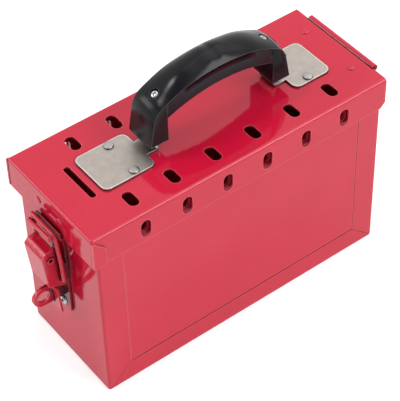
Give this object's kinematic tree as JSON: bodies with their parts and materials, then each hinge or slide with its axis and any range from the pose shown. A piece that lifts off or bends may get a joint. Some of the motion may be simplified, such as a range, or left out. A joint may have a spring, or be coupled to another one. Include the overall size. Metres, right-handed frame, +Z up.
{
  "type": "lockout box",
  "caption": "Portable red steel lockout box with a slotted, hinged lid, an arched carrying handle and a toggle latch with a padlock eye.",
  "frame": {"origin": "centre of the body's underside, where the box stands", "axes": "+Z up, +X from the latch end to the hinge end, -Y towards the front"},
  "size_m": [0.259, 0.0958, 0.2046],
  "materials": {
    "red_paint": "glossy",
    "bare_steel": "satin",
    "bright_zinc": "bright",
    "black_plastic": "satin"
  },
  "bodies": {
    "box": {"body_shell": "red_paint", "front_panel": "red_paint", "back_panel": "red_paint", "hinge_body_leaf": "red_paint", "hinge_pin": "bare_steel", "hinge_body_rivet_1": "red_paint", "hinge_body_rivet_2": "red_paint", "latch_base": "red_paint", "lever_pin": "red_paint", "padlock_eye": "red_paint", "base_rivet_1": "bare_steel", "base_rivet_2": "bare_steel"},
    "lid_body": {"lid": "red_paint", "handle_grip": "black_plastic", "handle_screw_left": "bright_zinc", "handle_screw_right": "bright_zinc", "handle_bracket_left": "bare_steel", "handle_bracket_right": "bare_steel", "latch_keeper": "red_paint", "hinge_lid_leaf": "red_paint", "bracket_rivet_1": "bare_steel", "bracket_rivet_2": "bare_steel", "bracket_rivet_3": "bare_steel", "bracket_rivet_4": "bare_steel", "hinge_lid_rivet_1": "red_paint", "hinge_lid_rivet_2": "red_paint", "keeper_rivet_1": "red_paint", "keeper_rivet_2": "red_paint"},
    "lever": {"latch_lever": "red_paint"},
    "bail": {"latch_bail": "red_paint"}
  },
  "joints": [
    {"name": "lid_hinge", "type": "hinge", "parent": "box", "child": "lid_body", "pos_m": [0.1172, 0, 0.1494], "axis": [0, 1, 0], "range_deg": [0, 180]},
    {"name": "latch_lever_hinge", "type": "hinge", "parent": "box", "child": "lever", "pos_m": [-0.1283, 0, 0.109], "axis": [0, 1, 0], "range_deg": [0, 90]},
    {"name": "latch_bail_hinge", "type": "hinge", "parent": "lever", "child": "bail", "pos_m": [-0.1217, 0, 0.0875], "axis": [0, 1, 0], "range_deg": [-90, 0]}
  ],
  "couplings": [
    {"joint": "latch_bail_hinge", "follows": "latch_lever_hinge", "ratio": -1}
  ]
}
